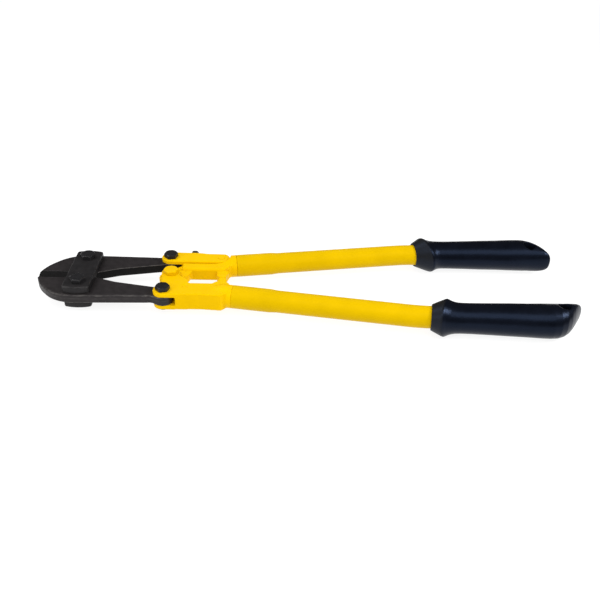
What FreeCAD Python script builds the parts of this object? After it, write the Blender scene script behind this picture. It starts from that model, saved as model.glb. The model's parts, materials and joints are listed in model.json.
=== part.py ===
"""Bolt cutters, 24 inch class: a parametric FreeCAD document written out as one STEP file per piece.

Modelling frame, in millimetres: X runs along the tool from the jaws to the grips, Y across it and
Z is up. The zero point is midway between the two link bolts, at half the thickness of the jaws.
Every piece is then placed so that the frame's origin lies under the middle of the tool, on the
surface that it rests on. The upper half of the tool is the one at +Y, the lower half at -Y.
"""
import FreeCAD, Part
import math
import os
import re
import Sketcher

UPPER = 1
LOWER = -1
SIDE_NAME = {UPPER: "upper", LOWER: "lower"}

DIMENSIONS = {
    # the linkage: four pivots per half, closed position
    "jaw_pivot_y": 25.8,
    "tail_bolt_x": 95.4,
    "tail_bolt_y": 35.9,
    "centre_bolt_x": 100.0,
    # jaws
    "jaw_thick": 10.4,
    "jaw_tip_x": -52.7,
    "jaw_gap": 0.15,
    "jaw_back_y": 44.3,
    "jaw_nose_radius": 44.0,
    "jaw_tip_radius": 54.0,
    "jaw_tail_radius": 11.0,
    "jaw_step_radius": 9.0,
    "lobe_angle": 50.0,
    "tail_inner_angle": 20.0,
    "tail_outer_angle": 25.0,
    "jaw_throat_x": 38.0,
    "jaw_throat_y": 14.2,
    "jaw_back_x": -5.0,
    "jaw_cheek_x": -38.0,
    "jaw_cheek_y": 28.2,
    "jaw_shoulder_x": 78.0,
    "jaw_shoulder_y": 42.2,
    "jaw_step_x": 85.0,
    "jaw_step_y": 43.2,
    "jaw_bevel_width": 6.5,
    "jaw_bevel_end_x": -13.0,
    "edge_land": 0.4,
    "forging_chamfer": 1.2,
    # link plates
    "plate_thick": 8.0,
    "plate_half_width": 15.0,
    "plate_corner_y": 38.6,
    "plate_crown": 2.6,
    "plate_corner_radius": 3.0,
    "plate_chamfer": 0.8,
    "plate_clearance": 0.15,
    # pivots and fasteners
    "pivot_radius": 5.0,
    "pivot_clearance": 0.05,
    "seat_clearance": 0.02,
    "link_head_flats": 15.5,
    "link_head_height": 5.0,
    "link_nut_flats": 15.0,
    "tail_head_flats": 14.5,
    "tail_head_height": 5.0,
    "centre_head_flats": 15.3,
    "centre_head_height": 4.6,
    "head_turn": 12.0,
    "hex_crown": 0.46,
    "shank_overlap": 1.0,
    "thin_nut_flats": 13.0,
    "thin_nut_height": 3.2,
    "screw_radius": 3.0,
    "screw_head_flats": 10.0,
    "screw_head_height": 4.5,
    "screw_nut_flats": 11.0,
    "adjusting_screw_x": 121.0,
    "adjusting_reach": 8.8,
    "lock_screw_x": 141.0,
    "lock_reach": 30.8,
    "lock_thread_y": 14.4,
    "screw_seat_y": 46.5,
    "arm_pin_radius": 3.5,
    # handle heads: two ears either side of a slot
    "ear_radius": 10.9,
    "ear_thick": 4.8,
    "ear_waist_x": 92.2,
    "ear_waist_y": 21.0,
    "ear_angle": 28.0,
    "slot_clearance": 0.2,
    "slot_end_x": 109.5,
    "slot_corner": 3.0,
    "head_start_x": 70.0,
    "lobe_radius": 10.8,
    "lobe_rear_angle": 25.0,
    "tongue_radius": 11.2,
    "tongue_thick": 10.2,
    "tongue_front_angle": 45.0,
    "tongue_rear_angle": 60.0,
    "tongue_waist_x": 119.0,
    "tongue_waist_y": 3.4,
    "tongue_root_x": 122.0,
    "open_pivot_radius": 8.9,
    "head_inner_y": 22.0,
    "head_outer_y": 46.2,
    "head_waist_x": 136.0,
    "head_waist_y": 45.0,
    "head_heel_x": 160.0,
    "head_heel_y": 47.3,
    "web_edge_y": 16.5,
    "ramp_x": 119.0,
    "ramp_y": 13.5,
    "ramp_radius": 5.0,
    "ramp_end_x": 121.5,
    "ramp_end_y": 19.0,
    "notch_x": 123.5,
    "notch_rear_x": 148.8,
    "shoulder_x": 153.4,
    "shoulder_rear_x": 164.0,
    "shoulder_y": 17.5,
    "dimple_x": 119.0,
    "dimple_y": 28.0,
    "dimple_radius": 3.4,
    "dimple_depth": 0.8,
    "bar_inner_y": 11.4,
    "bar_half_height": 8.2,
    "bar_start_x": 111.0,
    "bar_end_x": 160.0,
    "bar_round": 3.4,
    "lug_thick": 10.0,
    "lug_gap": 0.2,
    "lug_front_x": 155.5,
    "lug_rear_x": 162.5,
    "lug_flare": 3.5,
    "lug_knee_y": 3.0,
    "boss_root": 2.0,
    "blend_back": 8.0,
    "blend_face": 6.0,
    "blend_lip": 0.8,
    "blend_step": 4.0,
    # adjusting arm
    "arm_inner_y": 25.0,
    "arm_gap": 0.7,
    "arm_pin_x": 155.0,
    "arm_pin_y": 35.0,
    "arm_rear_radius": 10.0,
    "arm_waist_x": 138.0,
    "arm_waist_y": 44.6,
    "arm_web_end_x": 143.0,
    "arm_back_x": 129.0,
    "arm_rear_angle": 65.0,
    "arm_chamfer": 0.8,
    # the upper head's plate that stands between the arm's cheeks
    "root_front_x": 146.0,
    "root_rear_x": 166.0,
    "root_inner_y": 15.4,
    "root_front_y": 38.0,
    "root_rear_y": 41.0,
    "root_crest_y": 43.0,
    "root_crest_x": 152.0,
    "root_crest_end_x": 160.0,
    # how far the shapes of cuts run past what they cut, and how far grazing cuts stay off a skin
    "cut_beyond": 9.0,
    "cut_graze": 0.01,
    # handle tubes
    "seam_x": 173.0,
    "seam_y": 33.6,
    "tube_angle": 9.27,
    "tube_radius": 12.4,
    "tube_wall": 2.0,
    "tube_straight": 195.0,
    "bend_radius": 190.0,
    "bend_angle": 7.47,
    "tube_in_grip": 120.0,
    "socket_radius": 13.1,
    "socket_length": 42.0,
    "spigot_radius": 10.35,
    "spigot_length": 38.0,
    "spigot_chamfer": 1.5,
    "socket_root": 34.0,
    "socket_root_radius": 8.0,
    "socket_collar": 13.0,
    "swell_taper": 8.0,
    # grips
    "mouth_radius": 13.3,
    "lip_x": 2.0,
    "lip_radius": 14.3,
    "collar_front_x": 14.0,
    "collar_front_radius": 20.2,
    "collar_radius": 21.0,
    "collar_x": 16.0,
    "collar_back_x": 19.0,
    "collar_back_radius": 19.8,
    "throat_radius": 14.0,
    "grip_side_radius": 900.0,
    "neck_radius": 17.0,
    "neck_x": 30.0,
    "heel_radius": 19.9,
    "heel_x": 130.0,
    "grip_length": 168.5,
    "grip_nose_round": 6.0,
    "grip_nose_y": 13.0,
    "slant_start_x": 126.0,
    "slant_end_x": 166.5,
    "grip_slant_radius": 90.0,
    "taper_start_x": 116.0,
    "taper_end_x": 169.5,
    "grip_taper_radius": 160.0,
    "grip_tip_height": 11.0,
    "hang_hole_radius": 5.5,
    "hang_hole_x": 144.0,
    "hang_hole_y": 5.2,
    # where the modelling frame lies in the part's frame
    "middle_x": 253.11,
    "rest_height": 21.0,
}

doc = FreeCAD.newDocument("bolt_cutters")
sheet = doc.addObject("Spreadsheet::Sheet", "Dimensions")
for row, (alias, number) in enumerate(DIMENSIONS.items(), start=1):
    sheet.set(f"A{row}", alias)
    sheet.set(f"B{row}", str(number))
    sheet.setAlias(f"B{row}", alias)
doc.recompute()

XY = "XY_Plane"
XZ = "XZ_Plane"
YZ = "YZ_Plane"
sub_parts = []


def bound(text):
    """The text as an expression whose dimension names point at the spreadsheet."""
    return re.sub(r"\b[a-z]+(?:_[a-z]+)+\b", lambda name: "Dimensions." + name.group(0), str(text))


def value(text):
    """The number that an expression has now."""
    return float(sheet.evalExpression(str(text)))


def bind(thing, path, text):
    thing.setExpression(path, bound(text))


def turned(x, y, z, angle=1):
    """A placement at zero, turned about an axis, so that its angle can be bound."""
    return FreeCAD.Placement(FreeCAD.Vector(0, 0, 0), FreeCAD.Rotation(FreeCAD.Vector(x, y, z), angle))


def place(thing, x="0", y="0", z="0", turn="0"):
    """Bind a sub-part's placement: a point of the modelling frame and a turn about Z."""
    thing.Placement = turned(0, 0, 1)
    bind(thing, "Placement.Base.x", f"{x} - middle_x")
    bind(thing, "Placement.Base.y", y)
    bind(thing, "Placement.Base.z", f"{z} + rest_height")
    bind(thing, "Placement.Rotation.Angle", turn)


def keep(thing, label):
    thing.Label = label
    sub_parts.append(thing)
    return thing


def new_body(label):
    return keep(doc.addObject("PartDesign::Body", label), label)


def new_sketch(body, plane, offset="0"):
    """A sketch on one of the body's own planes, moved along the plane's normal by offset."""
    sketch = body.newObject("Sketcher::SketchObject", "Sketch")
    support = [feature for feature in body.Origin.OriginFeatures if feature.Role == plane][0]
    sketch.AttachmentSupport = [(support, "")]
    sketch.MapMode = "FlatFace"
    bind(sketch, "AttachmentOffset.Base.z", offset)
    return sketch


def hold(sketch, kind, geometry, place_on_it, text):
    """Hold a point of the geometry at a bound distance from the sketch's origin, along X or Y."""
    number = value(text)
    index = sketch.addConstraint(Sketcher.Constraint(kind, -1, 1, geometry, place_on_it, number))
    bind(sketch, f"Constraints[{index}]", text)


def hold_radius(sketch, geometry, text):
    index = sketch.addConstraint(Sketcher.Constraint("Radius", geometry, value(text)))
    bind(sketch, f"Constraints[{index}]", text)


def draw_circle(sketch, x, y, radius):
    centre = FreeCAD.Vector(value(x), value(y), 0)
    circle = Part.Circle(centre, FreeCAD.Vector(0, 0, 1), value(radius))
    geometry = sketch.addGeometry(circle)
    hold(sketch, "DistanceX", geometry, 3, x)
    hold(sketch, "DistanceY", geometry, 3, y)
    hold_radius(sketch, geometry, radius)


def arc_between(start, end, radius, long_way):
    """The arc from start to end: it turns left for a positive radius and right for a negative one."""
    chord = end - start
    half = chord.Length / 2
    across = FreeCAD.Vector(-chord.y, chord.x, 0).normalize()
    rise = math.sqrt(max(radius * radius - half * half, 0.0))
    side = 1 if radius > 0 else -1
    if long_way:
        side = -side
    centre = (start + end) * 0.5 + across * rise * side
    circle = Part.Circle(centre, FreeCAD.Vector(0, 0, 1), abs(radius))
    angles = [math.atan2(point.y - centre.y, point.x - centre.x) for point in (start, end)]
    if radius < 0:
        angles.reverse()
    return Part.ArcOfCircle(circle, angles[0], angles[1])


def draw_outline(sketch, corners, side=UPPER):
    """A closed outline through the corners, mirrored to -Y for the lower side.

    A corner is (x, y), or (x, y, radius) when an arc leads from it to the next corner. All of them
    are expressions. The outline runs counterclockwise, a positive radius bulges outwards, and a
    fourth entry True takes the longer arc.
    """
    points = []
    for corner in corners:
        x, y = str(corner[0]), str(corner[1])
        if side == LOWER:
            y = f"-({y})"
        points.append((x, y, corner[2:]))
    edges = []
    for index, (x, y, bulge) in enumerate(points):
        next_x, next_y, _ = points[(index + 1) % len(points)]
        start = FreeCAD.Vector(value(x), value(y), 0)
        end = FreeCAD.Vector(value(next_x), value(next_y), 0)
        if bulge:
            radius = value(bulge[0]) * side
            arc = arc_between(start, end, radius, len(bulge) > 1)
            geometry = sketch.addGeometry(arc)
            text = str(bulge[0])
            hold_radius(sketch, geometry, text if value(text) > 0 else f"-({text})")
            edges.append((geometry, 1, 2) if radius > 0 else (geometry, 2, 1))
        else:
            geometry = sketch.addGeometry(Part.LineSegment(start, end))
            edges.append((geometry, 1, 2))
    for index, (x, y, _) in enumerate(points):
        geometry, first, last = edges[index]
        before, _, before_last = edges[index - 1]
        sketch.addConstraint(Sketcher.Constraint("Coincident", before, before_last, geometry, first))
        hold(sketch, "DistanceX", geometry, first, x)
        hold(sketch, "DistanceY", geometry, first, y)


def pad(body, sketch, length, both_ways=True):
    feature = body.newObject("PartDesign::Pad", "Pad")
    feature.Profile = sketch
    bind(feature, "Length", length)
    if both_ways:
        feature.SideType = "Symmetric"
    doc.recompute()
    return feature


def pocket(body, sketch, length, both_ways=True, reverse=False):
    """Cut the sketch's shape out, and make sure that the cut removed something."""
    before = body.Shape.Volume
    feature = body.newObject("PartDesign::Pocket", "Pocket")
    feature.Profile = sketch
    bind(feature, "Length", length)
    feature.Reversed = reverse
    if both_ways:
        feature.SideType = "Symmetric"
    doc.recompute()
    if not body.Shape.Volume < before - 1e-3:
        raise ValueError(f"{body.Label}: a pocket cut nothing")
    return feature


def revolve(body, sketch):
    feature = body.newObject("PartDesign::Revolution", "Revolution")
    feature.Profile = sketch
    feature.ReferenceAxis = (sketch, ["H_Axis"])
    feature.Angle = 360
    doc.recompute()
    return feature


def edge_names(shape, wanted):
    """The names of the edges whose middle point passes the test."""
    names = []
    for index, edge in enumerate(shape.Edges, start=1):
        middle = edge.valueAt((edge.FirstParameter + edge.LastParameter) / 2)
        if wanted(edge, middle):
            names.append(f"Edge{index}")
    return names


def dress(body, kind, size, wanted):
    """Round or chamfer the edges of the body's tip that pass the test."""
    base = body.Tip
    names = edge_names(base.Shape, wanted)
    if not names:
        raise ValueError(f"{body.Label}: no edge to dress")
    feature = body.newObject(f"PartDesign::{kind}", kind)
    feature.Base = (base, names)
    bind(feature, "Radius" if kind == "Fillet" else "Size", size)
    doc.recompute()
    return feature


def is_flat(edge, middle, height):
    """Whether an edge lies in one of the two level faces at plus and minus height."""
    box = edge.BoundBox
    return abs(abs(middle.z) - height) < 1e-3 and box.ZLength < 1e-3


def make_jaw(side):
    """A forged jaw: cutting edge, rolling lobe round the link bolt, and a tail to the handle."""
    body = new_body(f"{SIDE_NAME[side]}_jaw")
    tail_in = ("tail_bolt_x - jaw_tail_radius * sin(tail_inner_angle)",
               "tail_bolt_y - jaw_tail_radius * cos(tail_inner_angle)")
    tail_out = ("tail_bolt_x - jaw_tail_radius * sin(tail_outer_angle)",
                "tail_bolt_y + jaw_tail_radius * cos(tail_outer_angle)")
    lobe = "(jaw_pivot_y - jaw_gap)"
    lobe_end = (f"{lobe} * cos(lobe_angle)", f"jaw_pivot_y - {lobe} * sin(lobe_angle)")
    sketch = new_sketch(body, XY)
    draw_outline(sketch, [
        ("jaw_tip_x", "jaw_gap"),
        ("0", "jaw_gap", lobe),
        lobe_end,
        ("jaw_throat_x", "jaw_throat_y"),
        (*tail_in, "jaw_tail_radius", True),
        tail_out,
        ("jaw_step_x", "jaw_step_y", "-jaw_step_radius"),
        ("jaw_shoulder_x", "jaw_shoulder_y"),
        ("jaw_back_x", "jaw_back_y", "jaw_nose_radius"),
        ("jaw_cheek_x", "jaw_cheek_y", "jaw_tip_radius"),
    ], side)
    pad(body, sketch, "jaw_thick")

    pivots = new_sketch(body, XY)
    hole_radius = "pivot_radius + pivot_clearance"
    draw_circle(pivots, "0", f"{side} * jaw_pivot_y", hole_radius)
    draw_circle(pivots, "tail_bolt_x", f"{side} * tail_bolt_y", hole_radius)
    pocket(body, pivots, "2 * jaw_thick")

    def on_back(edge, middle):
        nearest = "jaw_tail_radius" if middle.x < 0 else "tail_bolt_y"
        level = is_flat(edge, middle, value("jaw_thick / 2"))
        return level and middle.x < value("jaw_step_x") and side * middle.y > value(nearest)

    dress(body, "Chamfer", "forging_chamfer", on_back)

    bevel = new_sketch(body, YZ, "jaw_bevel_end_x")
    for level in (1, -1):
        draw_outline(bevel, [
            ("0", f"{level} * edge_land / 2"),
            (f"{side} * (jaw_gap + jaw_bevel_width)", f"{level} * jaw_thick / 2"),
            (f"{side} * (jaw_gap + jaw_bevel_width)", f"{level} * jaw_thick"),
            ("0", f"{level} * jaw_thick"),
        ])
    pocket(body, bevel, "jaw_bevel_end_x - jaw_tip_x + cut_beyond", both_ways=False)
    place(body)


def make_link_plate(label, level):
    """A link plate: a thick strap with crowned ends that carries both jaw pivots."""
    body = new_body(label)
    crown = "(plate_half_width^2 + plate_crown^2) / (2 * plate_crown)"
    sketch = new_sketch(body, XY)
    draw_outline(sketch, [
        ("plate_half_width", "-plate_corner_y"),
        ("plate_half_width", "plate_corner_y", crown),
        ("-plate_half_width", "plate_corner_y"),
        ("-plate_half_width", "-plate_corner_y", crown),
    ])
    pad(body, sketch, "plate_thick")
    bores = new_sketch(body, XY)
    for side in (UPPER, LOWER):
        draw_circle(bores, "0", f"{side} * jaw_pivot_y", "pivot_radius + seat_clearance")
    pocket(body, bores, "2 * plate_thick")
    dress(body, "Fillet", "plate_corner_radius", lambda edge, middle: (
        abs(middle.z) < 1e-3 and abs(abs(middle.x) - value("plate_half_width")) < 1e-3
        and edge.BoundBox.ZLength > 1))

    def on_rim(edge, middle):
        outer = (abs(middle.x) > value("plate_half_width - plate_corner_radius")
                 or abs(middle.y) > value("plate_corner_y - plate_corner_radius"))
        return is_flat(edge, middle, value("plate_thick / 2")) and middle.z * level > 0 and outer

    dress(body, "Chamfer", "plate_chamfer", on_rim)
    place(body, z=f"{level} * (jaw_thick / 2 + plate_clearance + plate_thick / 2)")


def make_link_plates():
    make_link_plate("top_link_plate", 1)
    make_link_plate("bottom_link_plate", -1)


def primitive(kind, name, **sizes):
    """A Part primitive with its sizes bound."""
    thing = doc.addObject(f"Part::{kind}", name)
    for path, text in sizes.items():
        bind(thing, path, text)
    return thing


def move(thing, x="0", y="0", z="0"):
    for axis, text in (("x", x), ("y", y), ("z", z)):
        bind(thing, f"Placement.Base.{axis}", text)
    return thing


def join(kind, name, first, second):
    """Part::Fuse, Part::Cut or Part::Common of two objects."""
    thing = doc.addObject(f"Part::{kind}", name)
    thing.Base = first
    thing.Tool = second
    return thing


def hex_block(name, flats, height, z, both_ends=False):
    """A hexagon across the flats, its corners turned off at 30 degrees on the upper face."""
    flats = f"({flats})"
    height = f"({height})"
    prism = primitive("Prism", f"{name}_prism", Circumradius=f"{flats} / sqrt(3)", Height=height)
    prism.Polygon = 6
    move(prism, z=z)
    cone = primitive("Cone", f"{name}_cone", Radius2=f"{flats} * hex_crown", Height=height,
                     Radius1=f"{flats} * hex_crown + {height} * sqrt(3)")
    move(cone, z=z)
    block = join("Common", f"{name}_hexagon", prism, cone)
    if not both_ends:
        return block
    under = primitive("Cone", f"{name}_under", Radius1=f"{flats} * hex_crown", Height=height,
                      Radius2=f"{flats} * hex_crown + {height} * sqrt(3)")
    move(under, z=z)
    return join("Common", f"{name}_block", block, under)


def hex_bolt(name, radius, reach, flats, height):
    """A bolt standing on its head's seat at z 0, the shank hanging down by reach."""
    head = hex_block(name, flats, height, "0")
    shank = primitive("Cylinder", f"{name}_shank", Radius=radius, Height=f"{reach} + shank_overlap")
    move(shank, z=f"-({reach})")
    return join("Fuse", f"{name}_bolt", head, shank)


def hex_nut(name, radius, flats, height):
    """A thin nut hanging down from z 0."""
    block = hex_block(name, flats, height, f"-({height})", both_ends=True)
    bore = primitive("Cylinder", f"{name}_bore", Height=f"{height} + 2 * cut_beyond",
                     Radius=f"{radius} + seat_clearance")
    move(bore, z=f"-({height}) - cut_beyond")
    return join("Cut", f"{name}_nut", block, bore)


def compound(name, things):
    group = doc.addObject("Part::Compound", name)
    group.Links = things
    return group


def make_link_fasteners():
    """Two bolts through plates and jaws, and a thin nut on each, below the bottom plate."""
    stack = "(jaw_thick + 2 * plate_clearance + 2 * plate_thick)"
    bolts = []
    nuts = []
    for side in (UPPER, LOWER):
        name = f"link_{SIDE_NAME[side]}"
        bolt = hex_bolt(f"{name}_bolt", "pivot_radius", f"{stack} + thin_nut_height",
                        "link_head_flats", "link_head_height")
        bolts.append(move(bolt, y=f"{side} * jaw_pivot_y", z=f"{stack} / 2"))
        nut = hex_nut(f"{name}_nut", "pivot_radius", "link_nut_flats", "thin_nut_height")
        nuts.append(move(nut, y=f"{side} * jaw_pivot_y", z=f"-{stack} / 2"))
    place(keep(compound("link_bolt_pair", bolts), "link_bolts"))
    place(keep(compound("link_nut_pair", nuts), "link_nuts"))


def make_ear_fasteners(name, x, y, flats, height):
    """A bolt down through both ears of a handle head, and a thin nut under the lower ear."""
    ears = "(jaw_thick + 2 * slot_clearance + 2 * ear_thick)"
    bolt = hex_bolt(f"{name}_bolt_shape", "pivot_radius", f"{ears} + thin_nut_height", flats, height)
    place(keep(bolt, f"{name}_bolt"), x, y, f"{ears} / 2", turn="head_turn")
    nut = hex_nut(f"{name}_nut_shape", "pivot_radius", "thin_nut_flats", "thin_nut_height")
    place(keep(nut, f"{name}_nut"), x, y, f"-{ears} / 2", turn="head_turn")


def add_tube_socket(body, side):
    """The round end of a handle head: a collar as thick as the tube and a spigot inside it."""
    sketch = new_sketch(body, XY)
    sketch.AttachmentOffset = turned(0, 0, 1)
    bind(sketch, "AttachmentOffset.Base.x", "seam_x")
    bind(sketch, "AttachmentOffset.Base.y", f"{side} * seam_y")
    bind(sketch, "AttachmentOffset.Rotation.Angle", f"{side} * tube_angle")
    draw_outline(sketch, [
        ("-socket_root", "0"),
        ("spigot_length", "0"),
        ("spigot_length", "spigot_radius - spigot_chamfer"),
        ("spigot_length - spigot_chamfer", "spigot_radius"),
        ("0", "spigot_radius"),
        ("0", "socket_radius"),
        ("-socket_collar", "socket_radius"),
        ("-socket_root", "socket_root_radius"),
    ])
    return revolve(body, sketch)


def seam_corner(back, across):
    """A point on a head's socket: back from the seam along the tube, and across it, as expressions."""
    x = f"(seam_x - ({back}) * cos(tube_angle) - ({across}) * sin(tube_angle))"
    y = f"(seam_y - ({back}) * sin(tube_angle) + ({across}) * cos(tube_angle))"
    return x, y


def socket_blend():
    """Four corners of a head's outline that run it into its socket, from the inner side outwards."""
    return [
        seam_corner("blend_back", "-socket_radius + blend_lip"),
        seam_corner("blend_face", "-socket_radius + blend_step"),
        seam_corner("blend_face", "socket_radius - blend_step"),
        seam_corner("blend_back", "socket_radius - blend_lip"),
    ]


def ear_height():
    return "(jaw_thick + 2 * slot_clearance + 2 * ear_thick)"


def make_lower_casting():
    """The plain handle head: ears for the jaw's tail and the centre bolt, web, lug and socket."""
    body = new_body("lower_casting")
    sketch = new_sketch(body, XY)
    draw_outline(sketch, [
        ("tail_bolt_x", "tail_bolt_y + ear_radius", "ear_radius"),
        ("tail_bolt_x - ear_radius * sin(ear_angle)", "tail_bolt_y - ear_radius * cos(ear_angle)"),
        ("ear_waist_x", "ear_waist_y"),
        ("centre_bolt_x - lobe_radius", "0", "lobe_radius", True),
        ("centre_bolt_x + lobe_radius * cos(lobe_rear_angle)", "lobe_radius * sin(lobe_rear_angle)"),
        ("ramp_x", "ramp_y", "ramp_radius"),
        ("ramp_end_x", "ramp_end_y"),
        ("notch_x", "head_inner_y"),
        ("notch_rear_x", "head_inner_y"),
        ("shoulder_x", "shoulder_y"),
        ("shoulder_rear_x", "shoulder_y"),
        *socket_blend(),
        ("head_heel_x", "head_heel_y"),
        ("head_waist_x", "head_waist_y"),
    ], LOWER)
    pad(body, sketch, ear_height())

    slot = new_sketch(body, XY)
    draw_outline(slot, [
        ("head_start_x", "-web_edge_y"),
        ("notch_rear_x", "-web_edge_y"),
        ("notch_rear_x", "web_edge_y"),
        ("slot_end_x + slot_corner", "web_edge_y", "-slot_corner"),
        ("slot_end_x", "web_edge_y + slot_corner"),
        ("slot_end_x", "head_outer_y + cut_beyond"),
        ("head_start_x", "head_outer_y + cut_beyond"),
    ], LOWER)
    pocket(body, slot, "jaw_thick + 2 * slot_clearance")

    lug = new_sketch(body, XY)
    draw_outline(lug, [
        ("lug_front_x - lug_flare", "head_inner_y"),
        ("lug_front_x", "lug_gap / 2"),
        ("lug_rear_x", "lug_gap / 2"),
        ("lug_rear_x + lug_flare", "head_inner_y"),
    ], LOWER)
    pad(body, lug, "lug_thick")
    add_tube_socket(body, LOWER)

    bores = new_sketch(body, XY)
    draw_circle(bores, "tail_bolt_x", "-tail_bolt_y", "pivot_radius + seat_clearance")
    draw_circle(bores, "centre_bolt_x", "0", "pivot_radius + seat_clearance")
    pocket(body, bores, f"2 * {ear_height()}")
    dimple = new_sketch(body, XY, f"{ear_height()} / 2")
    draw_circle(dimple, "dimple_x", "-dimple_y", "dimple_radius")
    pocket(body, dimple, "dimple_depth", both_ways=False)
    place(body)


def make_upper_casting():
    """The handle head that carries the adjusting arm: tongue, bar, lug and socket."""
    body = new_body("upper_casting")
    seat = "(arm_rear_radius + arm_gap)"
    sketch = new_sketch(body, XY)
    draw_outline(sketch, [
        ("bar_start_x", "bar_inner_y"),
        ("bar_end_x", "bar_inner_y"),
        *socket_blend(),
        ("arm_pin_x", "arm_pin_y"),
        ("bar_start_x", f"arm_pin_y - {seat}"),
    ])
    pad(body, sketch, "2 * bar_half_height")
    half = value("bar_half_height")
    dress(body, "Fillet", "bar_round", lambda edge, middle: (
        is_flat(edge, middle, half) and abs(middle.y - value("bar_inner_y")) < 1e-3))
    add_tube_socket(body, UPPER)

    room = new_sketch(body, XY)
    draw_outline(room, [
        ("arm_pin_x", f"arm_pin_y - {seat}", seat),
        (f"arm_pin_x + {seat}", "arm_pin_y"),
        (f"arm_pin_x + {seat}", "head_outer_y + cut_beyond"),
        ("bar_start_x - cut_beyond", "head_outer_y + cut_beyond"),
        ("bar_start_x - cut_beyond", f"arm_pin_y - {seat}"),
    ])
    pocket(body, room, f"2 * {ear_height()}")

    tongue = new_sketch(body, XY)
    draw_outline(tongue, [
        ("centre_bolt_x + tongue_radius * cos(tongue_rear_angle)",
         "-tongue_radius * sin(tongue_rear_angle)"),
        ("tongue_waist_x", "tongue_waist_y"),
        ("tongue_root_x", "bar_inner_y"),
        ("tongue_root_x", f"arm_pin_y - {seat}"),
        ("bar_start_x", f"arm_pin_y - {seat}"),
        ("centre_bolt_x - tongue_radius * cos(tongue_front_angle)",
         "tongue_radius * sin(tongue_front_angle)", "tongue_radius", True),
    ])
    pad(body, tongue, "tongue_thick")

    arm_root = new_sketch(body, XY)
    draw_outline(arm_root, [
        ("root_front_x", "root_inner_y"),
        ("root_rear_x", "root_inner_y"),
        ("root_rear_x", "root_rear_y"),
        ("root_crest_end_x", "root_crest_y"),
        ("root_crest_x", "root_crest_y"),
        ("root_front_x", "root_front_y"),
    ])
    pad(body, arm_root, "tongue_thick - 2 * slot_clearance")

    lug = new_sketch(body, XY)
    draw_outline(lug, [
        ("lug_front_x - lug_flare", "bar_inner_y + boss_root"),
        ("lug_front_x - lug_flare", "lug_knee_y"),
        ("lug_front_x", "lug_gap / 2"),
        ("lug_rear_x", "lug_gap / 2"),
        ("lug_rear_x + lug_flare", "bar_inner_y + boss_root"),
    ])
    pad(body, lug, "lug_thick")

    bores = new_sketch(body, XY)
    draw_circle(bores, "centre_bolt_x", "0", "open_pivot_radius")
    draw_circle(bores, "arm_pin_x", "arm_pin_y", "arm_pin_radius + seat_clearance")
    pocket(body, bores, f"2 * {ear_height()}")
    thread = new_sketch(body, XZ, "-lock_thread_y")
    draw_circle(thread, "lock_screw_x", "0", "screw_radius + seat_clearance")
    pocket(body, thread, "arm_pin_y - bar_inner_y", both_ways=False)
    place(body)


def make_adjusting_arm():
    """The forked arm between the upper jaw's tail and the upper handle head."""
    body = new_body("adjusting_arm")
    sketch = new_sketch(body, XY)
    draw_outline(sketch, [
        ("tail_bolt_x", "tail_bolt_y - ear_radius"),
        ("tail_bolt_x + ear_radius", "arm_inner_y"),
        ("arm_pin_x", "arm_pin_y - arm_rear_radius", "arm_rear_radius"),
        ("arm_pin_x + arm_rear_radius * cos(arm_rear_angle)",
         "arm_pin_y + arm_rear_radius * sin(arm_rear_angle)"),
        ("arm_waist_x", "arm_waist_y"),
        ("arm_back_x", "head_outer_y"),
        ("tail_bolt_x", "tail_bolt_y + ear_radius", "ear_radius"),
        ("tail_bolt_x - ear_radius", "tail_bolt_y", "ear_radius"),
    ])
    pad(body, sketch, ear_height())

    fork = new_sketch(body, XY)
    draw_outline(fork, [
        ("head_start_x", "bar_inner_y"),
        ("slot_end_x", "bar_inner_y"),
        ("slot_end_x", "head_outer_y + cut_beyond"),
        ("head_start_x", "head_outer_y + cut_beyond"),
    ])
    pocket(body, fork, "jaw_thick + 2 * slot_clearance")
    rear = new_sketch(body, XY)
    draw_outline(rear, [
        ("arm_web_end_x", "bar_inner_y"),
        ("seam_x", "bar_inner_y"),
        ("seam_x", "head_outer_y + cut_beyond"),
        ("arm_web_end_x", "head_outer_y + cut_beyond"),
    ])
    pocket(body, rear, "tongue_thick")

    bores = new_sketch(body, XY)
    draw_circle(bores, "tail_bolt_x", "tail_bolt_y", "pivot_radius + seat_clearance")
    draw_circle(bores, "arm_pin_x", "arm_pin_y", "arm_pin_radius + seat_clearance")
    pocket(body, bores, f"2 * {ear_height()}")
    threads = new_sketch(body, XZ, "-arm_inner_y")
    draw_circle(threads, "adjusting_screw_x", "0", "screw_radius + seat_clearance")
    draw_circle(threads, "lock_screw_x", "0", "screw_radius + seat_clearance")
    pocket(body, threads, "head_outer_y")

    def on_rim(edge, middle):
        curve = edge.Curve
        round_hole = curve.TypeId == "Part::GeomCircle" and curve.Radius < value("pivot_radius + 1")
        return is_flat(edge, middle, value(f"{ear_height()} / 2")) and not round_hole

    dress(body, "Chamfer", "arm_chamfer", on_rim)
    place(body)


def lay_across(thing, x, y):
    """Turn a piece that stands on z 0 so that its head points to +Y, and place it."""
    thing.Placement = turned(1, 0, 0, -90)
    bind(thing, "Placement.Base.x", f"{x} - middle_x")
    bind(thing, "Placement.Base.y", y)
    bind(thing, "Placement.Base.z", "rest_height")


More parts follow.
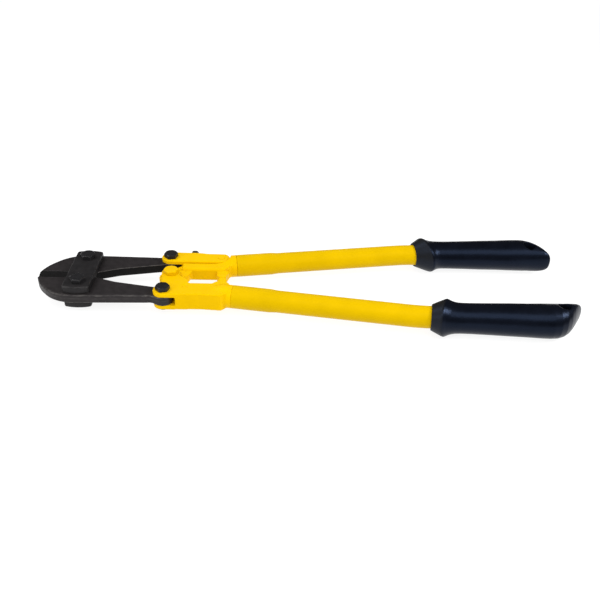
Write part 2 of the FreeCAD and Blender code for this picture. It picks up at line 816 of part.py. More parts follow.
def make_arm_fasteners():
    """The arm's pin, the adjusting screw with its lock nut, and the lock screw."""
    pin = primitive("Cylinder", "arm_pin_shape", Radius="arm_pin_radius", Height=ear_height())
    place(keep(pin, "arm_pin"), "arm_pin_x", "arm_pin_y", f"-{ear_height()} / 2")
    reach = "head_outer_y + adjusting_reach - arm_inner_y"
    screw = hex_bolt("adjusting_screw_shape", "screw_radius", reach,
                     "screw_head_flats", "screw_head_height")
    lay_across(keep(screw, "adjusting_screw"), "adjusting_screw_x", "screw_seat_y + adjusting_reach")
    nut = hex_nut("adjusting_nut_shape", "screw_radius", "screw_nut_flats", "thin_nut_height")
    lay_across(keep(nut, "adjusting_nut"), "adjusting_screw_x", "screw_seat_y + thin_nut_height")
    lock = hex_bolt("lock_screw_shape", "screw_radius", "lock_reach",
                    "screw_head_flats", "screw_head_height")
    lay_across(keep(lock, "lock_screw"), "lock_screw_x", "screw_seat_y")


def make_tube(side):
    """A handle tube: swelled over the head's spigot, straight, then bent in towards the grip."""
    body = new_body(f"{SIDE_NAME[side]}_tube")
    section = new_sketch(body, YZ)
    draw_circle(section, "0", "0", "tube_radius")
    draw_circle(section, "0", "0", "tube_radius - tube_wall")
    path = new_sketch(body, XY)
    bend_end = ("tube_straight + bend_radius * sin(bend_angle)",
                f"-{side} * bend_radius * (1 - cos(bend_angle))")
    path_end = (f"{bend_end[0]} + tube_in_grip * cos(bend_angle)",
                f"{bend_end[1]} - {side} * tube_in_grip * sin(bend_angle)")
    corners = [FreeCAD.Vector(value(x), value(y), 0)
               for x, y in (("0", "0"), ("tube_straight", "0"), bend_end, path_end)]
    first = path.addGeometry(Part.LineSegment(corners[0], corners[1]))
    bend = path.addGeometry(arc_between(corners[1], corners[2], -side * value("bend_radius"), False))
    last = path.addGeometry(Part.LineSegment(corners[2], corners[3]))
    start, end = (2, 1) if side == UPPER else (1, 2)
    path.addConstraint(Sketcher.Constraint("Coincident", first, 2, bend, start))
    path.addConstraint(Sketcher.Constraint("Coincident", bend, end, last, 1))
    hold(path, "DistanceX", first, 1, "0")
    hold(path, "DistanceY", first, 1, "0")
    hold(path, "DistanceX", first, 2, "tube_straight")
    hold(path, "DistanceY", first, 2, "0")
    hold(path, "DistanceX", last, 1, bend_end[0])
    hold(path, "DistanceY", last, 1, bend_end[1])
    hold(path, "DistanceX", last, 2, path_end[0])
    hold(path, "DistanceY", last, 2, path_end[1])
    hold_radius(path, bend, "bend_radius")
    pipe = body.newObject("PartDesign::AdditivePipe", "Pipe")
    pipe.Profile = section
    pipe.Spine = (path, [])
    doc.recompute()

    swell = new_sketch(body, XY)
    draw_outline(swell, [
        ("0", "tube_radius - tube_wall / 4"),
        ("socket_length + swell_taper", "tube_radius - tube_wall / 4"),
        ("socket_length + swell_taper", "tube_radius"),
        ("socket_length", "socket_radius"),
        ("0", "socket_radius"),
    ])
    revolve(body, swell)
    place(body, "seam_x", f"{side} * seam_y", turn=f"{side} * tube_angle")


def make_grip(side):
    """A moulded grip: finger collar, swelling body, and a flattened slanted end with a hang hole."""
    body = new_body(f"{SIDE_NAME[side]}_grip")
    profile = new_sketch(body, XY)
    draw_outline(profile, [
        ("0", "0"),
        ("grip_length", "0"),
        ("grip_length", "heel_radius - grip_nose_round", "grip_nose_round"),
        ("grip_length - grip_nose_round", "heel_radius"),
        ("heel_x", "heel_radius", "grip_side_radius"),
        ("neck_x", "neck_radius", "-throat_radius"),
        ("collar_back_x", "collar_back_radius"),
        ("collar_x", "collar_radius"),
        ("collar_front_x", "collar_front_radius"),
        ("lip_x", "lip_radius"),
        ("0", "mouth_radius"),
    ])
    revolve(body, profile)
    bore = new_sketch(body, YZ)
    draw_circle(bore, "0", "0", "tube_radius + pivot_clearance")
    pocket(body, bore, "tube_in_grip + pivot_clearance", both_ways=False, reverse=True)

    slant = new_sketch(body, XY)
    draw_outline(slant, [
        ("slant_start_x", "heel_radius + cut_graze", "-grip_slant_radius"),
        ("slant_end_x", "-grip_nose_y"),
        ("grip_length + cut_beyond", "-grip_nose_y"),
        ("grip_length + cut_beyond", "collar_radius"),
        ("slant_start_x", "collar_radius"),
    ], side)
    pocket(body, slant, "2 * collar_radius")
    for level in (1, -1):
        taper = new_sketch(body, XZ)
        draw_outline(taper, [
            ("taper_start_x", "heel_radius + cut_graze", "-grip_taper_radius"),
            ("taper_end_x", "grip_tip_height"),
            ("grip_length + cut_beyond", "grip_tip_height"),
            ("grip_length + cut_beyond", "collar_radius"),
            ("taper_start_x", "collar_radius"),
        ], level)
        pocket(body, taper, "2 * collar_radius")
    hole = new_sketch(body, XY)
    draw_circle(hole, "hang_hole_x", f"-{side} * hang_hole_y", "hang_hole_radius")
    pocket(body, hole, "2 * collar_radius")

    reach = "(tube_straight + bend_radius * sin(bend_angle))"
    drop = "(bend_radius * (1 - cos(bend_angle)))"
    place(body, f"seam_x + {reach} * cos(tube_angle) + {drop} * sin(tube_angle)",
          f"{side} * (seam_y + {reach} * sin(tube_angle) - {drop} * cos(tube_angle))",
          turn=f"{side} * (tube_angle - bend_angle)")


def check_document():
    """Stop if any object failed, or if a sub-part has no sound shape."""
    doc.recompute()
    for thing in doc.Objects:
        if "Invalid" in thing.State or "Error" in thing.State:
            raise ValueError(f"{thing.Label} ({thing.TypeId}) failed: {thing.State}")
    for thing in sub_parts:
        if thing.Shape.isNull() or not thing.Shape.isValid() or not thing.Shape.Solids:
            raise ValueError(f"{thing.Label} has no sound shape")


def export():
    os.makedirs("parts", exist_ok=True)
    for thing in sub_parts:
        thing.Shape.exportStep(os.path.join("parts", f"{thing.Label}.step"))
        print(f"{thing.Label}: {len(thing.Shape.Solids)} solid(s), {thing.Shape.Volume:.0f} mm3")
    box = FreeCAD.BoundBox()
    for thing in sub_parts:
        box.add(thing.Shape.optimalBoundingBox(False, False))
    print("whole tool:", box)


for half in (UPPER, LOWER):
    make_jaw(half)
make_link_plates()
make_link_fasteners()
make_ear_fasteners("upper_tail", "tail_bolt_x", "tail_bolt_y", "tail_head_flats", "tail_head_height")
make_ear_fasteners("lower_tail", "tail_bolt_x", "-tail_bolt_y", "tail_head_flats", "tail_head_height")
make_ear_fasteners("centre", "centre_bolt_x", "0", "centre_head_flats", "centre_head_height")
make_lower_casting()
make_upper_casting()
make_adjusting_arm()
make_arm_fasteners()
for half in (UPPER, LOWER):
    make_tube(half)
    make_grip(half)
check_document()
export()
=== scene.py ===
import json
import math

import bmesh
import bpy
from mathutils import Euler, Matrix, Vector


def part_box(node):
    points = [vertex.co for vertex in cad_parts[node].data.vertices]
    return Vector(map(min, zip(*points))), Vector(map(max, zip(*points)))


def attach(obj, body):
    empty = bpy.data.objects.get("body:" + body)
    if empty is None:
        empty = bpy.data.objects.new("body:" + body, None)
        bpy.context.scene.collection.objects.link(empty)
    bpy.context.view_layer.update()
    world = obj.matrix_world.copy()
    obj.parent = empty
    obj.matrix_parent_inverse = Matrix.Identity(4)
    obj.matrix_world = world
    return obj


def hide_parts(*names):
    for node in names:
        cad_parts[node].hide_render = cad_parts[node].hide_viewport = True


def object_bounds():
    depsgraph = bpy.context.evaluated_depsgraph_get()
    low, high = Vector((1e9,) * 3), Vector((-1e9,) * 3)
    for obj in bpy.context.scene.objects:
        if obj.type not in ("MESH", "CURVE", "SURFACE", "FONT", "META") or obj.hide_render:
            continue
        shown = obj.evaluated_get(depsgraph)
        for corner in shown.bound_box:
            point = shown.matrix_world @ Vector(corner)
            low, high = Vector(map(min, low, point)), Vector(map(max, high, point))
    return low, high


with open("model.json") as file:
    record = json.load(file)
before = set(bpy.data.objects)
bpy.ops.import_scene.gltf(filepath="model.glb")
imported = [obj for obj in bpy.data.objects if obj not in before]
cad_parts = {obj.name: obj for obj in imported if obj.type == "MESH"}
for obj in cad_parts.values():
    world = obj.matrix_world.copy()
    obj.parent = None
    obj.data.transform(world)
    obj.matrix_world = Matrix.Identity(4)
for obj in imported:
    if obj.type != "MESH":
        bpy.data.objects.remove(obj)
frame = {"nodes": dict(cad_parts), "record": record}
cad_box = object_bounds()

# Lengths are in metres, and colours are linear red, green and blue.
MM = 0.001


# ---------------------------------------------------------------- node helpers

def socket(node, name):
    """The input socket of that name that is in use."""
    return next(entry for entry in node.inputs if entry.name == name and entry.enabled)


def scaled(colour, share):
    """The same colour at a share of its strength."""
    return tuple(share * part for part in colour)


class Finish:
    """One procedural material, and short words for the nodes that it needs."""

    def __init__(self, name):
        self.material = bpy.data.materials.new(name)
        self.material.use_nodes = True
        self.tree = self.material.node_tree
        self.shader = self.tree.nodes["Principled BSDF"]
        self.place = self.tree.nodes.new("ShaderNodeTexCoord").outputs["Object"]

    def set(self, **values):
        """Sets the shader's own sockets to uniform values."""
        for name, value in values.items():
            self.shader.inputs[name.replace("_", " ")].default_value = value

    def link(self, source, name):
        """Drives one of the shader's sockets."""
        self.tree.links.new(source, self.shader.inputs[name])

    def axis(self, letter):
        """One part of the object's own coordinates."""
        parts = self.tree.nodes.new("ShaderNodeSeparateXYZ")
        self.tree.links.new(self.place, parts.inputs["Vector"])
        return parts.outputs[letter]

    def stretched(self, stretch):
        """The object's own coordinates, squeezed or stretched along each axis."""
        mapping = self.tree.nodes.new("ShaderNodeMapping")
        mapping.inputs["Scale"].default_value = stretch
        self.tree.links.new(self.place, mapping.inputs["Vector"])
        return mapping.outputs["Vector"]

    def noise(self, size, detail=4.0, roughness=0.55, stretch=None):
        """Cloudy noise whose blotches are about `size` metres across."""
        node = self.tree.nodes.new("ShaderNodeTexNoise")
        node.inputs["Scale"].default_value = 1 / size
        node.inputs["Detail"].default_value = detail
        node.inputs["Roughness"].default_value = roughness
        vector = self.stretched(stretch) if stretch else self.place
        self.tree.links.new(vector, node.inputs["Vector"])
        return node.outputs["Fac"]

    def corners(self):
        """High on outside edges, low in hollows, a half on flats."""
        return self.tree.nodes.new("ShaderNodeNewGeometry").outputs["Pointiness"]

    def span(self, value, low, high, out_low=0.0, out_high=1.0):
        """Maps low..high to out_low..out_high, held at both ends."""
        node = self.tree.nodes.new("ShaderNodeMapRange")
        self.tree.links.new(value, node.inputs["Value"])
        node.inputs["From Min"].default_value = low
        node.inputs["From Max"].default_value = high
        node.inputs["To Min"].default_value = out_low
        node.inputs["To Max"].default_value = out_high
        return node.outputs["Result"]

    def below(self, value, edge, blur):
        """1 under the edge and 0 over it; the change reaches `blur` to each side."""
        return self.span(value, edge - blur, edge + blur, 1, 0)

    def above(self, value, edge, blur):
        """0 under the edge and 1 over it; the change reaches `blur` to each side."""
        return self.span(value, edge - blur, edge + blur)

    def combine(self, kind, first, second):
        """One Math node; each value is a socket or a number."""
        node = self.tree.nodes.new("ShaderNodeMath")
        node.operation = kind
        for entry, value in zip(node.inputs, (first, second)):
            if isinstance(value, (int, float)):
                entry.default_value = value
            else:
                self.tree.links.new(value, entry)
        return node.outputs[0]

    def product(self, first, *others):
        """All the values multiplied."""
        for other in others:
            first = self.combine("MULTIPLY", first, other)
        return first

    def distance(self, value, middle):
        """How far a value is from the middle one, whichever way."""
        return self.combine("ABSOLUTE", self.combine("SUBTRACT", value, middle), 0)

    def blend(self, factor, first, second):
        """Mixes two colours; each is a socket or a colour."""
        node = self.tree.nodes.new("ShaderNodeMix")
        node.data_type = "RGBA"
        self.tree.links.new(factor, socket(node, "Factor"))
        for name, value in (("A", first), ("B", second)):
            if isinstance(value, tuple):
                socket(node, name).default_value = (*value, 1)
            else:
                self.tree.links.new(value, socket(node, name))
        return next(entry for entry in node.outputs if entry.enabled)

    def bump(self, height, depth):
        """Adds relief of about `depth` metres on top of what is there."""
        node = self.tree.nodes.new("ShaderNodeBump")
        node.inputs["Distance"].default_value = depth
        self.tree.links.new(height, node.inputs["Height"])
        existing = self.shader.inputs["Normal"]
        if existing.is_linked:
            self.tree.links.new(existing.links[0].from_socket, node.inputs["Normal"])
        self.link(node.outputs["Normal"], "Normal")


# Noise levels between which a change runs.
CLOUDY = (0.3, 0.7)
PATCHY = (0.35, 0.65)


# ---------------------------------------------------------------- yellow enamel

CAST_YELLOW = (0.80, 0.480, 0.0004)
TUBE_YELLOW = (0.665, 0.420, 0.0004)
PAINTED_SHADE_YELLOW = (0.62, 0.330, 0.0010)
YELLOW_GLOSS = (1.0, 0.80, 0.15, 1)
THIN_ENAMEL = 0.93
ENAMEL_SHADE_LEVELS = (0.42, 0.495)
ENAMEL_ROUGHNESS = (0.30, 0.44)


def enamel_yellow(name, full, orange_peel):
    """Thick yellow enamel: thin spots, painted shade in the hollows and an orange-peel skin."""
    finish = Finish(name)
    patches = finish.span(finish.noise(28 * MM, detail=3), *PATCHY)
    colour = finish.blend(patches, full, scaled(full, THIN_ENAMEL))
    # Painted shade: hollows and creases get a darker yellow, where shade would fall.
    hollows = finish.span(finish.corners(), *ENAMEL_SHADE_LEVELS)
    finish.link(finish.blend(hollows, PAINTED_SHADE_YELLOW, colour), "Base Color")
    finish.link(finish.span(finish.noise(9 * MM), *CLOUDY, *ENAMEL_ROUGHNESS), "Roughness")
    finish.set(Specular_IOR_Level=0.07, Specular_Tint=YELLOW_GLOSS)
    finish.bump(finish.noise(2.2 * MM, detail=2), orange_peel)
    return finish.material


# ---------------------------------------------------------------- forged steel

JAW_BLACK = (0.031, 0.027, 0.028)
# On the jaws this lighter colour is both edge wear and painted highlight along the rims and
# parting line.
JAW_WEAR_AND_HIGHLIGHT = (0.115, 0.107, 0.100)
PLATE_BLACK = (0.022, 0.0205, 0.0215)
PLATE_WORN = (0.065, 0.061, 0.061)
FASTENER_BLACK = (0.022, 0.0215, 0.023)
FASTENER_WORN = (0.055, 0.053, 0.054)
THICK_SCALE = 0.70
SCALE_LEVELS = (0.35, 0.68)
SCUFF_LEVELS = (0.3, 0.8)
SCUFF_STRETCH = (0.35, 1.0, 1.0)
SCUFFS_ON_CORNERS = (-0.018, 0.022)
WORN_CORNERS = (0.514, 0.560)
SMOOTHER = 0.07
ROUGHER = 0.09

# Both jaws lie at the same height. Their tails' outer sides are further than SIDES_PART from the
# middle plane, and their inner sides are nearer.
JAW_LOW, JAW_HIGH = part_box("lower_jaw")
JAW_MIDDLE = (JAW_LOW.z + JAW_HIGH.z) / 2
JAW_HALF_THICK = (JAW_HIGH.z - JAW_LOW.z) / 2
SIDES_PART = 26.5 * MM
SIDES_BLUR = 1.5 * MM
SIDE_TOP = JAW_HALF_THICK - 0.75 * MM

# The darker, duller strip beside the cutting line ends under the link plate.
STRIP_HALF_WIDTH = 6.5 * MM
STRIP_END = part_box("top_link_plate")[0].x + 2 * MM
# How dark the strip and the tails' inner sides are painted; on the inner sides this is painted
# shade.
STRIP_AND_SHADE_SHARE = 0.12
STRIP_AND_SIDES_ROUGHER = 0.24

# The chamfered rims, and the faint line where the forging dies met: both are lightened, partly as
# wear and partly as painted highlight.
RIM_LOW = JAW_HALF_THICK - 1.3 * MM
RIM_HIGH = JAW_HALF_THICK - 0.3 * MM
PARTING_HEIGHT = JAW_MIDDLE + 0.7 * MM
PARTING_HALF_WIDTH = 0.55 * MM
PARTING_STRENGTH = 0.45
BROKEN_LEVELS = (0.40, 0.64)
BROKEN_STRENGTH = (0.04, 0.6)


def dark_strip_and_shaded_sides(finish):
    """1 on the strip beside the cutting line and on the tails' inner sides, and 0 elsewhere; on
    the inner sides it carries painted shade.
    """
    along = finish.axis("X")
    across = finish.distance(finish.axis("Y"), 0)
    level = finish.distance(finish.axis("Z"), JAW_MIDDLE)
    strip = finish.product(
        finish.below(across, STRIP_HALF_WIDTH, 0.2 * MM),
        finish.below(along, STRIP_END, 0.5 * MM),
    )
    # Painted shade on the tails' inner sides, which face the other jaw.
    inner = finish.product(
        finish.below(level, SIDE_TOP, 0.25 * MM),
        finish.below(across, SIDES_PART, SIDES_BLUR),
        finish.above(along, STRIP_END + 0.5 * MM, 0.5 * MM),
    )
    return finish.combine("MAXIMUM", strip, inner)


def rubbed_and_highlit_rims(finish, scuffs):
    """Up to 1 in broken bands along the outer rims and, fainter, along the parting line: partly
    wear, partly painted highlight.
    """
    height = finish.axis("Z")
    level = finish.distance(height, JAW_MIDDLE)
    rim = finish.product(
        finish.above(level, RIM_LOW, 0.2 * MM),
        finish.below(level, RIM_HIGH, 0.15 * MM),
    )
    parting = finish.product(
        finish.below(finish.distance(height, PARTING_HEIGHT), PARTING_HALF_WIDTH, 0.35 * MM),
        PARTING_STRENGTH,
    )
    outside = finish.above(finish.distance(finish.axis("Y"), 0), SIDES_PART, SIDES_BLUR)
    broken = finish.span(scuffs, *BROKEN_LEVELS, *BROKEN_STRENGTH)
    return finish.product(finish.combine("ADD", rim, parting), broken, outside)


def forged_steel(name, base, wear_and_highlight, roughness, is_jaw=False):
    """Blackened forged steel: mottled scale, a fine grain, and bare metal where the edges rub.

    A jaw also has lighter rims and parting line, partly wear and partly painted highlight, a
    darker, duller strip beside the cutting line, and painted shade on its tails' inner sides.
    """
    finish = Finish(name)
    scale = finish.noise(7 * MM, detail=6, roughness=0.65)
    colour = finish.blend(finish.span(scale, *SCALE_LEVELS), scaled(base, THICK_SCALE), base)
    scuffs = finish.noise(2.4 * MM, detail=5, stretch=SCUFF_STRETCH)
    ragged = finish.span(scuffs, *SCUFF_LEVELS, *SCUFFS_ON_CORNERS)
    rubbed = finish.span(finish.combine("ADD", finish.corners(), ragged), *WORN_CORNERS)
    colour = finish.blend(rubbed, colour, wear_and_highlight)
    skin = finish.span(scale, *CLOUDY, roughness - SMOOTHER, roughness + ROUGHER)
    if is_jaw:
        # Painted highlight mixed with wear along the jaw's outer rims and parting line.
        colour = finish.blend(rubbed_and_highlit_rims(finish, scuffs), colour, wear_and_highlight)
        # A darker strip beside the cutting line, and painted shade on the tails' inner sides.
        strip_and_shade = dark_strip_and_shaded_sides(finish)
        colour = finish.blend(strip_and_shade, colour, scaled(base, STRIP_AND_SHADE_SHARE))
        skin = finish.combine("ADD", skin, finish.product(strip_and_shade, STRIP_AND_SIDES_ROUGHER))
    finish.link(colour, "Base Color")
    finish.link(skin, "Roughness")
    finish.set(Metallic=0.2, Specular_IOR_Level=0.18)
    finish.bump(finish.noise(0.55 * MM, detail=4), 0.030 * MM)
    finish.bump(scale, 0.08 * MM)
    return finish.material


# ---------------------------------------------------------------- vinyl

VINYL_DEEP = (0.0022, 0.0027, 0.0047)
VINYL_BLUE = (0.0036, 0.0044, 0.0078)
VINYL_GLOSS = (0.36, 0.54, 1.0, 1)
VINYL_ROUGHNESS = (0.27, 0.33)
COLLAR_GREY = (0.0118, 0.0117, 0.0116)
COLLAR_ROUGHER = 0.12

# How far a collar leans along the grip for each metre outward and upward from its middle line.
COLLAR_SLANT_OUT = -0.36
COLLAR_SLANT_UP = -0.15

# Where the slanted plane of the collar's ridge meets the X axis.
GRIP_LOW, GRIP_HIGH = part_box("upper_grip")
COLLAR_LENGTH = 15.0 * MM
GRIP_HALF_WIDTH = 20 * MM
COLLAR_RIDGE = (
    GRIP_LOW.x + COLLAR_LENGTH
    - COLLAR_SLANT_OUT * (GRIP_HIGH.y - GRIP_HALF_WIDTH)
    - COLLAR_SLANT_UP * (GRIP_LOW.z + GRIP_HIGH.z) / 2
)


def collar(finish):
    """1 on a grip's slanted collar, as far as its ridge, and 0 on the rest of the grip."""
    out = finish.product(finish.distance(finish.axis("Y"), 0), COLLAR_SLANT_OUT)
    up = finish.product(finish.axis("Z"), COLLAR_SLANT_UP)
    along = finish.combine("SUBTRACT", finish.combine("SUBTRACT", finish.axis("X"), out), up)
    return finish.below(along, COLLAR_RIDGE, 1.0 * MM)


def moulded_vinyl(name):
    """Glossy blue-black vinyl with a slightly uneven skin, greyer and duller on the collar."""
    finish = Finish(name)
    cloud = finish.span(finish.noise(16 * MM, detail=4), *CLOUDY)
    on_collar = collar(finish)
    colour = finish.blend(cloud, VINYL_DEEP, VINYL_BLUE)
    finish.link(finish.blend(on_collar, colour, COLLAR_GREY), "Base Color")
    skin = finish.span(finish.noise(5 * MM, detail=5), *CLOUDY, *VINYL_ROUGHNESS)
    skin = finish.combine("ADD", skin, finish.product(on_collar, COLLAR_ROUGHER))
    finish.link(skin, "Roughness")
    finish.set(Specular_IOR_Level=0.21, Specular_Tint=VINYL_GLOSS)
    finish.bump(finish.noise(1.1 * MM, detail=3), 0.006 * MM)
    finish.bump(finish.noise(9 * MM, detail=2), 0.12 * MM)
    return finish.material


# ---------------------------------------------------------------- painting the CAD nodes

MATERIALS = {
    "jaw_steel": forged_steel("jaw_steel", JAW_BLACK, JAW_WEAR_AND_HIGHLIGHT, 0.42, is_jaw=True),
    "plate_steel": forged_steel("plate_steel", PLATE_BLACK, PLATE_WORN, 0.44),
    "black_fasteners": forged_steel("black_fasteners", FASTENER_BLACK, FASTENER_WORN, 0.26),
    "painted_fasteners": enamel_yellow("painted_fasteners", CAST_YELLOW, 0.03 * MM),
    "painted_castings": enamel_yellow("painted_castings", CAST_YELLOW, 0.08 * MM),
    "painted_tubes": enamel_yellow("painted_tubes", TUBE_YELLOW, 0.02 * MM),
    "vinyl_grips": moulded_vinyl("vinyl_grips"),
}
SLOT_OF = {entry["node"]: entry["material_slot"] for entry in frame["record"]["subparts"]}


def paint(thing, slot):
    """Gives a thing the material of that slot and no other."""
    thing.data.materials.clear()
    thing.data.materials.append(MATERIALS[slot])


for name, node in frame["nodes"].items():
    paint(node, SLOT_OF[name])


# ---------------------------------------------------------------- rounded edges

# The grain of each node's skin, and how often it is relaxed.
SOFTENED = {
    "upper_jaw": (0.45 * MM, 3),
    "lower_jaw": (0.45 * MM, 3),
    "top_link_plate": (0.45 * MM, 4),
    "bottom_link_plate": (0.45 * MM, 4),
    "link_bolts": (0.28 * MM, 3),
    "upper_tail_bolt": (0.28 * MM, 3),
    "lower_tail_bolt": (0.28 * MM, 3),
    "centre_bolt": (0.28 * MM, 4),
    "lower_casting": (0.60 * MM, 9),
    "upper_casting": (0.60 * MM, 9),
    "adjusting_arm": (0.50 * MM, 8),
}
GRIP_SKIN = (0.7 * MM, 4)


def soften(thing, grain, passes):
    """Rounds a thing's edges: an even skin of `grain` metres, relaxed a few times."""
    skin = thing.modifiers.new("skin", "REMESH")
    skin.mode = "VOXEL"
    skin.voxel_size = grain
    skin.use_smooth_shade = True
    relax = thing.modifiers.new("relax", "SMOOTH")
    relax.factor = 0.5
    relax.iterations = passes


for name, (grain, passes) in SOFTENED.items():
    soften(frame["nodes"][name], grain, passes)


# ---------------------------------------------------------------- grips

# Round rings of a grip from its turned-in mouth over the collar to the body: how far along and
# their radius, both in mm, and their share of the collar's slant.
ROUND_STATIONS = (
    (2.2, 12.7, 0.4),
    (0.3, 13.2, 0.4),
    (0.0, 13.8, 0.4),
    (0.5, 14.4, 0.45),
    (8.0, 17.9, 0.75),
    (14.4, 20.7, 1.0),
    (16.0, 21.0, 1.0),
    (17.3, 20.5, 1.0),
    (20.0, 19.2, 1.0),
    (23.5, 18.0, 0.9),
    (28.0, 17.2, 0.7),
    (34.0, 16.9, 0.4),
    (45.0, 17.0, 0.1),
    (65.0, 17.5, 0.0),
    (85.0, 18.1, 0.0),
)

# Rings of the flattened end, which slants away on its outward side: how far along, outward,
# inward and half height, all in mm.
END_STATIONS = (
    (105.0, 19.1, 18.8, 18.3),
    (120.0, 19.7, 19.4, 18.9),
    (130.0, 19.8, 19.7, 19.1),
    (138.0, 18.8, 19.9, 19.1),
    (145.0, 15.6, 20.2, 18.5),
    (151.0, 10.2, 20.5, 17.7),
    (156.0, 3.8, 20.7, 16.4),
    (160.0, -2.2, 20.8, 14.8),
    (163.5, -7.7, 20.7, 12.7),
    (166.0, -11.5, 20.4, 10.4),
    (167.6, -14.0, 19.8, 7.6),
    (168.2, -15.8, 18.8, 4.2),
)
GRIP_STATIONS = (
    *((along, radius, radius, radius, slant) for along, radius, slant in ROUND_STATIONS),
    *((*station, 0.0) for station in END_STATIONS),
)
GRIP_SIDES = 64
MOUTH_DEPTH = 1.0 * MM
TUBE_END_DEPTH = 1.2 * MM

# Half the hang hole's profile: height and radius in mm, for a hole of PROFILE_RADIUS.
HOLE_PROFILE = ((30.0, 12.4), (19.3, 8.2), (16.6, 7.0), (13.4, 6.2))
PROFILE_RADIUS = 5.5
HOLE_SIDES = 48


def angles(sides):
    """As many angles, evenly round a full turn."""
    return [2 * math.pi * step / sides for step in range(sides)]


def end_centre(name, from_x, to_x):
    """The middle, along, across and up, of a CAD node's vertices between two lengths."""
    ring = [v.co for v in frame["nodes"][name].data.vertices if from_x <= v.co.x <= to_x]
    return Vector([(min(part) + max(part)) / 2 for part in zip(*ring)])


def skin_rings(shape, rings):
    """Joins rings of vertices into a closed tube with a cap at each end."""
    for first, second in zip(rings, rings[1:]):
        for step, corner in enumerate(first):
            following = (step + 1) % len(first)
            shape.faces.new((corner, first[following], second[following], second[step]))
    shape.faces.new(rings[0])
    shape.faces.new(rings[-1])
    bmesh.ops.recalc_face_normals(shape, faces=shape.faces)


def add_object(name, shape):
    """Puts a finished shape into the scene."""
    mesh = bpy.data.meshes.new(name)
    shape.to_mesh(mesh)
    shape.free()
    thing = bpy.data.objects.new(name, mesh)
    bpy.context.scene.collection.objects.link(thing)
    return thing


def make_grip(side):
    """One grip: slanted collar, wide throat, swelling body and a flattened, slanted end."""
    mouth_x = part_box(side + "_grip")[0].x
    tube_end_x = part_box(side + "_tube")[1].x
    start = end_centre(side + "_grip", mouth_x, mouth_x + MOUTH_DEPTH)
    inside = end_centre(side + "_tube", tube_end_x - TUBE_END_DEPTH, tube_end_x)
    along = inside - start
    along.z = 0
    along.normalize()
    outward = Vector((0, math.copysign(1, start.y), 0))
    outward = (outward - along * outward.dot(along)).normalized()
    up = Vector((0, 0, 1))

    shape = bmesh.new()
    rings = []
    for length, out, inn, height, slant in GRIP_STATIONS:
        ring = []
        for angle in angles(GRIP_SIDES):
            across = (out - inn) / 2 + (out + inn) / 2 * math.cos(angle)
            rise = height * math.sin(angle)
            shear = slant * (COLLAR_SLANT_OUT * across + COLLAR_SLANT_UP * rise)
            point = start + along * (length + shear) * MM + outward * across * MM + up * rise * MM
            ring.append(shape.verts.new(point))
        rings.append(ring)
    skin_rings(shape, rings)
    grip = add_object(side + "_vinyl_grip", shape)
    paint(grip, SLOT_OF[side + "_grip"])
    return grip


def cut_hole(thing, centre, radius):
    """Cuts a round upright hole with flared mouths; the result is the cutter."""
    lower_half = [(-height, reach) for height, reach in reversed(HOLE_PROFILE)]
    shape = bmesh.new()
    rings = []
    for height, reach in (*HOLE_PROFILE, *lower_half):
        reach *= radius / PROFILE_RADIUS
        offsets = [
            Vector((reach * math.cos(angle), reach * math.sin(angle), height * MM))
            for angle in angles(HOLE_SIDES)
        ]
        rings.append([shape.verts.new(centre + offset) for offset in offsets])
    skin_rings(shape, rings)
    cutter = add_object("hole_cutter", shape)
    cut = thing.modifiers.new("hole", "BOOLEAN")
    cut.operation = "DIFFERENCE"
    cut.solver = "EXACT"
    cut.object = cutter
    return cutter


def settle(thing):
    """Makes the effect of a piece's modifiers its own mesh, with smooth shading."""
    graph = bpy.context.evaluated_depsgraph_get()
    mesh = bpy.data.meshes.new_from_object(thing.evaluated_get(graph))
    thing.modifiers.clear()
    old = thing.data
    thing.data = mesh
    bpy.data.meshes.remove(old)
    for face in mesh.polygons:
        face.use_smooth = True


HOLES = {mount["name"]: mount for mount in frame["record"]["mounts"]}
for side in ("upper", "lower"):
    grip = make_grip(side)
    hole = HOLES[side + "_hang_hole"]
    cutter = cut_hole(grip, Vector(hole["pos_m"]), hole["dims"]["r_mm"] * MM)
    soften(grip, *GRIP_SKIN)
    settle(grip)
    bpy.data.objects.remove(cutter)
    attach(grip, side + "_handle")
    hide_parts(side + "_grip")


# ---------------------------------------------------------------- floor, light and camera

FLOOR_HALF = 6.0
FLOOR_GAP = 0.2 * MM
FLOOR_BLOTCHES = 0.4
FLOOR_DIM = (0.19, 0.19, 0.19)
FLOOR_BRIGHT = (0.21, 0.21, 0.21)
FLOOR_GLOW = 0.89
WHITE = (1.0, 1.0, 1.0, 1)

# The surround's strength as a light, in a gloss and seen beyond the floor.
SURROUND = 0.50
SURROUND_IN_GLOSS = 0.05
SURROUND_SEEN = 1.0

# Each light's name, place, target, width, height and power in watts.
LIGHTS = (
    ("soft_key", (0.15, -0.85, 1.25), (0.05, 0, 0), 1.6, 0.9, 11.5),
    ("soft_left", (-0.75, 0.30, 1.15), (-0.10, 0, 0), 0.6, 0.6, 5.5),
    ("soft_side", (-1.2, -0.6, 0.6), (0.0, 0, 0), 0.7, 0.35, 4.5),
    ("soft_right", (0.95, -0.25, 0.75), (0.15, 0, 0.02), 0.32, 0.32, 6.5),
)

# The camera's angles in degrees, its lens and sensor in mm, and its aim from the link bolts'
# middle, the middle plane and the tool's middle height.
ELEVATION = 33.66
YAW = 1.931
ROLL = 2.011
LENS = 42.5
SENSOR_WIDTH = 36
DISTANCE = 0.7926
AIM_BEHIND_BOLTS = 0.24802
AIM_ACROSS = -0.03772
AIM_LOWER = 0.15 * MM


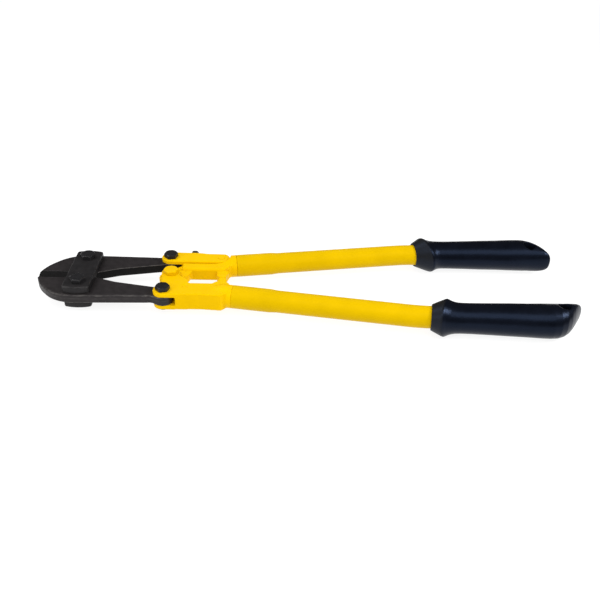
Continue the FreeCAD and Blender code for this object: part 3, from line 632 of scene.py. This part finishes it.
def make_floor():
    """A wide pale sheet just under the tool."""
    height = cad_box[0].z - FLOOR_GAP
    corners = [(-1, -1), (1, -1), (1, 1), (-1, 1)]
    mesh = bpy.data.meshes.new("floor")
    points = [(x * FLOOR_HALF, y * FLOOR_HALF, height) for x, y in corners]
    mesh.from_pydata(points, [], [(0, 1, 2, 3)])
    floor = bpy.data.objects.new("floor", mesh)
    bpy.context.scene.collection.objects.link(floor)
    finish = Finish("floor_paint")
    tint = finish.span(finish.noise(FLOOR_BLOTCHES, detail=2), *CLOUDY)
    finish.link(finish.blend(tint, FLOOR_DIM, FLOOR_BRIGHT), "Base Color")
    finish.set(Roughness=0.9, Specular_IOR_Level=0.0)
    finish.set(Emission_Color=WHITE, Emission_Strength=FLOOR_GLOW)
    mesh.materials.append(finish.material)


def make_light(name, place, target, width, height, power):
    """A soft rectangular light that faces its target."""
    lamp = bpy.data.lights.new(name, "AREA")
    lamp.shape = "RECTANGLE"
    lamp.size = width
    lamp.size_y = height
    lamp.energy = power
    thing = bpy.data.objects.new(name, lamp)
    bpy.context.scene.collection.objects.link(thing)
    thing.location = place
    aim = Vector(target) - Vector(place)
    thing.rotation_mode = "QUATERNION"
    thing.rotation_quaternion = aim.to_track_quat("-Z", "Y")


def make_world():
    """A white surround: full where it is seen, dimmer as a light and dimmest in a gloss."""
    world = bpy.data.worlds.new("studio")
    bpy.context.scene.world = world
    world.use_nodes = True
    tree = world.node_tree
    backdrop = tree.nodes["Background"]
    backdrop.inputs["Color"].default_value = WHITE
    rays = tree.nodes.new("ShaderNodeLightPath")
    level = tree.nodes.new("ShaderNodeMapRange")
    level.inputs["To Min"].default_value = SURROUND
    level.inputs["To Max"].default_value = SURROUND_IN_GLOSS
    tree.links.new(rays.outputs["Is Glossy Ray"], level.inputs["Value"])
    seen = tree.nodes.new("ShaderNodeMapRange")
    seen.inputs["To Max"].default_value = SURROUND_SEEN
    tree.links.new(rays.outputs["Is Camera Ray"], seen.inputs["Value"])
    tree.links.new(level.outputs["Result"], seen.inputs["To Min"])
    tree.links.new(seen.outputs["Result"], backdrop.inputs["Strength"])


def make_camera():
    """Looks down on the tool from its lower handle's side."""
    bolts_low, bolts_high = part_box("link_bolts")
    aim = Vector((
        (bolts_low.x + bolts_high.x) / 2 + AIM_BEHIND_BOLTS,
        AIM_ACROSS,
        cad_box[1].z / 2 - AIM_LOWER,
    ))
    heading = Euler((0, 0, -math.radians(YAW))).to_matrix()
    tilt = Euler((math.pi / 2 - math.radians(ELEVATION), 0, 0)).to_matrix()
    turn = heading @ tilt @ Euler((0, 0, math.radians(ROLL))).to_matrix()
    data = bpy.data.cameras.new("camera")
    data.sensor_width = SENSOR_WIDTH
    data.lens = LENS
    camera = bpy.data.objects.new("camera", data)
    bpy.context.scene.collection.objects.link(camera)
    camera.location = aim - DISTANCE * (turn @ Vector((0, 0, -1)))
    camera.rotation_euler = turn.to_euler()
    bpy.context.scene.camera = camera


make_floor()
make_world()
for light in LIGHTS:
    make_light(*light)
make_camera()
bpy.context.scene.view_settings.view_transform = "Standard"
